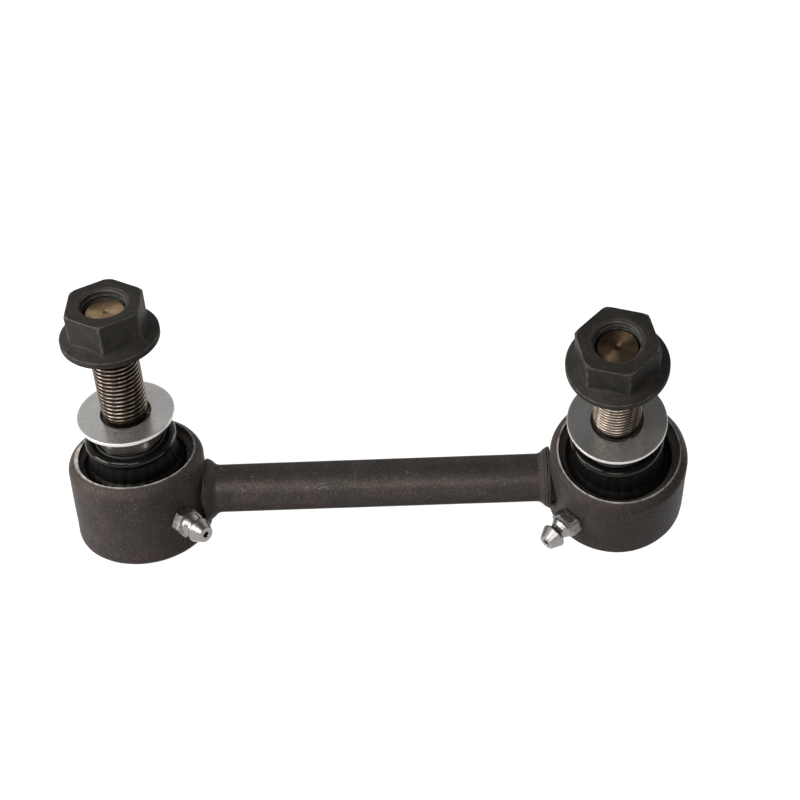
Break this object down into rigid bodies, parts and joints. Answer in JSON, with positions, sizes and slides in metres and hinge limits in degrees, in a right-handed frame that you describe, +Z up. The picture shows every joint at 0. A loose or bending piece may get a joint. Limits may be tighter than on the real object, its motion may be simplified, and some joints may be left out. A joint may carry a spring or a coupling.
{
  "type": "stabilizer link",
  "caption": "Straight rod with a greasable ball joint at each end; threaded studs with washers and flange nuts tie a vehicle's sway bar to its suspension.",
  "frame": {"origin": "middle of the left housing's flat base", "axes": "+X along the rod from the left housing to the right one, +Z up the left housing's axis, +Y away from the side with the grease nipples"},
  "size_m": [0.162, 0.0543, 0.0804],
  "materials": {
    "forged_steel": "matte dark brown-grey phosphate coat",
    "black_steel": "satin black phosphate coat",
    "bronze_steel": "bronze-tinted plated steel",
    "zinc_steel": "satin zinc plate",
    "sintered_steel": "oiled sintered metal",
    "spring_steel": "dark spring steel",
    "nickel_steel": "bright nickel plate",
    "boot_rubber": "glossy black moulded rubber"
  },
  "bodies": {
    "link": {"link_rod": "forged_steel", "left_housing": "forged_steel", "left_weld_flash": "forged_steel", "left_preload_spring": "spring_steel", "left_upper_bearing": "sintered_steel", "left_closing_ring": "black_steel", "left_boot": "boot_rubber", "left_boot_ring": "black_steel", "left_grease_fitting": "nickel_steel", "left_check_spring": "spring_steel", "right_housing": "forged_steel", "right_weld_flash": "forged_steel", "right_preload_spring": "spring_steel", "right_upper_bearing": "sintered_steel", "right_closing_ring": "black_steel", "right_boot": "boot_rubber", "right_boot_ring": "black_steel", "right_grease_fitting": "nickel_steel", "right_check_spring": "spring_steel"},
    "left_seat": {"left_ball_seat": "sintered_steel"},
    "left_boot_top": {"left_boot_clip": "spring_steel"},
    "left_stud": {"left_ball_stud": "bronze_steel"},
    "left_washer": {"left_washer": "zinc_steel"},
    "left_nut": {"left_flange_nut": "black_steel"},
    "left_check": {"left_check_ball": "nickel_steel"},
    "right_seat": {"right_ball_seat": "sintered_steel"},
    "right_boot_top": {"right_boot_clip": "spring_steel"},
    "right_stud": {"right_ball_stud": "bronze_steel"},
    "right_washer": {"right_washer": "zinc_steel"},
    "right_nut": {"right_flange_nut": "black_steel"},
    "right_check": {"right_check_ball": "nickel_steel"}
  },
  "joints": [
    {"name": "left_seat_swivel", "type": "hinge", "parent": "link", "child": "left_seat", "pos_m": [0, 0, 0.013], "axis": [0, 0, 1], "continuous": true},
    {"name": "left_stud_lean", "type": "hinge", "parent": "left_seat", "child": "left_boot_top", "pos_m": [0, 0, 0.013], "axis": [0.9976, 0.0698, 0], "range_deg": [-26, 14], "deforming": ["left_boot"]},
    {"name": "left_stud_spin", "type": "hinge", "parent": "left_boot_top", "child": "left_stud", "pos_m": [0, 0, 0.013], "axis": [0.0073, -0.1043, 0.9945], "continuous": true},
    {"name": "left_washer_spin", "type": "hinge", "parent": "left_stud", "child": "left_washer", "pos_m": [0.00019, -0.00266, 0.03836], "axis": [0.0073, -0.1043, 0.9945], "continuous": true},
    {"name": "left_nut_travel", "type": "slide", "parent": "left_stud", "child": "left_nut", "axis": [0.0073, -0.1043, 0.9945], "range_m": [-0.0239, 0.013]},
    {"name": "left_check_lift", "type": "slide", "parent": "link", "child": "left_check", "axis": [-0.7071, 0.7071, 0], "range_m": [0, 0.0006], "stiffness_N_per_m": 20, "deforming": ["left_check_spring"]},
    {"name": "right_seat_swivel", "type": "hinge", "parent": "link", "child": "right_seat", "pos_m": [0.126, -0.00047, 0.0129], "axis": [0, -0.3907, 0.9205], "continuous": true},
    {"name": "right_stud_lean", "type": "hinge", "parent": "right_seat", "child": "right_boot_top", "pos_m": [0.126, -0.00047, 0.0129], "axis": [0.0698, -0.9183, -0.3898], "range_deg": [-22.8, 17.2], "deforming": ["right_boot"]},
    {"name": "right_stud_spin", "type": "hinge", "parent": "right_boot_top", "child": "right_stud", "pos_m": [0.126, -0.00047, 0.0129], "axis": [-0.0487, -0.3934, 0.9181], "continuous": true},
    {"name": "right_washer_spin", "type": "hinge", "parent": "right_stud", "child": "right_washer", "pos_m": [0.12476, -0.0105, 0.03632], "axis": [-0.0487, -0.3934, 0.9181], "continuous": true},
    {"name": "right_nut_travel", "type": "slide", "parent": "right_stud", "child": "right_nut", "axis": [-0.0487, -0.3934, 0.9181], "range_m": [-0.0239, 0.013]},
    {"name": "right_check_lift", "type": "slide", "parent": "link", "child": "right_check", "axis": [0.7071, 0.6509, 0.2763], "range_m": [0, 0.0006], "stiffness_N_per_m": 20, "deforming": ["right_check_spring"]}
  ]
}
